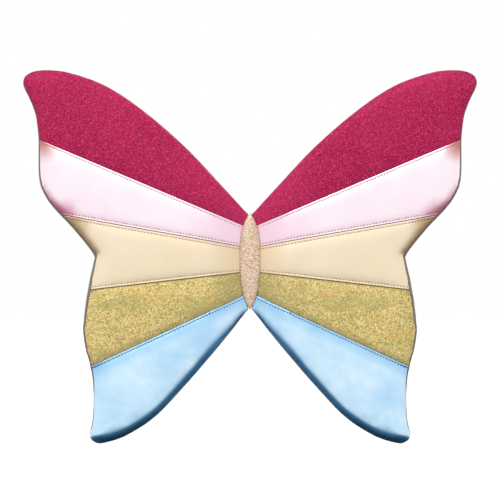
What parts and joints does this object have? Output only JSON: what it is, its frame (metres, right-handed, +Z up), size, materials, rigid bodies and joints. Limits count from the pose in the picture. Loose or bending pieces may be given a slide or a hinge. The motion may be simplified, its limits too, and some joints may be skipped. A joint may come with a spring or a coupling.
{
  "type": "fairy wings",
  "caption": "Padded butterfly wings for dressing up: coloured fabric panels fan out from a slim glitter body, with an elastic arm loop behind each wing.",
  "frame": {"origin": "middle of the flat back of the body, where it lies between the wearer's shoulder blades", "axes": "+X across the span to the wing on the wearer's right as seen from behind the wearer, +Y towards the wearer, +Z up; the decorated front faces -Y"},
  "size_m": [0.48, 0.1168, 0.3941],
  "materials": {
    "cerise_glitter_fabric": "woven with fine glitter",
    "pink_foil_fabric": "foil-coated, soft metallic shine",
    "gold_satin": "satin with a pale gold sheen",
    "olive_lurex": "lurex with green and gold flecks",
    "blue_foil_fabric": "foil-coated, soft metallic shine",
    "body_glitter_fabric": "coarse champagne glitter",
    "backing_fabric": "plain weave, matt",
    "stiffener_felt": "pressed felt, matt",
    "wadding": "polyester fibre, matt",
    "pale_thread": "spun thread",
    "dark_thread": "spun thread",
    "gold_thread": "spun thread",
    "navy_thread": "spun thread",
    "strap_elastic": "ribbed woven elastic",
    "strap_thread": "spun thread"
  },
  "bodies": {
    "spine": {"body_front_cover": "body_glitter_fabric", "body_back_cover": "backing_fabric", "body_padding": "wadding"},
    "right_wing": {"right_cerise_panel": "cerise_glitter_fabric", "right_pink_panel": "pink_foil_fabric", "right_gold_panel": "gold_satin", "right_olive_panel": "olive_lurex", "right_blue_panel": "blue_foil_fabric", "right_back_cover": "backing_fabric", "right_stiffener": "stiffener_felt", "right_padding": "wadding", "right_pink_upper_stitching": "pale_thread", "right_pink_lower_stitching": "dark_thread", "right_gold_upper_stitching": "gold_thread", "right_gold_lower_stitching": "gold_thread", "right_blue_upper_stitching": "navy_thread", "right_strap_upper_end": "strap_elastic", "right_strap_lower_end": "strap_elastic", "right_strap_upper_stitching": "strap_thread", "right_strap_lower_stitching": "strap_thread"},
    "right_strap": {"right_strap_loop": "strap_elastic"},
    "left_wing": {"left_cerise_panel": "cerise_glitter_fabric", "left_pink_panel": "pink_foil_fabric", "left_gold_panel": "gold_satin", "left_olive_panel": "olive_lurex", "left_blue_panel": "blue_foil_fabric", "left_back_cover": "backing_fabric", "left_stiffener": "stiffener_felt", "left_padding": "wadding", "left_pink_upper_stitching": "pale_thread", "left_pink_lower_stitching": "dark_thread", "left_gold_upper_stitching": "gold_thread", "left_gold_lower_stitching": "gold_thread", "left_blue_upper_stitching": "navy_thread", "left_strap_upper_end": "strap_elastic", "left_strap_lower_end": "strap_elastic", "left_strap_upper_stitching": "strap_thread", "left_strap_lower_stitching": "strap_thread"},
    "left_strap": {"left_strap_loop": "strap_elastic"}
  },
  "joints": [
    {"name": "right_wing_fold", "type": "hinge", "parent": "spine", "child": "right_wing", "pos_m": [0, -0.008, 0], "axis": [0, 0, -1], "range_deg": [-15, 65], "stiffness_Nm_per_rad": 0.05},
    {"name": "left_wing_fold", "type": "hinge", "parent": "spine", "child": "left_wing", "pos_m": [0, -0.008, 0], "axis": [0, 0, 1], "range_deg": [-15, 65], "stiffness_Nm_per_rad": 0.05},
    {"name": "right_strap_swing", "type": "hinge", "parent": "right_wing", "child": "right_strap", "pos_m": [0.055, 0.00105, 0], "axis": [0, 0, -1], "range_deg": [-8, 50], "stiffness_Nm_per_rad": 0.01, "deforming": ["right_strap_upper_end", "right_strap_lower_end"]},
    {"name": "left_strap_swing", "type": "hinge", "parent": "left_wing", "child": "left_strap", "pos_m": [-0.055, 0.00105, 0], "axis": [0, 0, 1], "range_deg": [-8, 50], "stiffness_Nm_per_rad": 0.01, "deforming": ["left_strap_upper_end", "left_strap_lower_end"]}
  ]
}
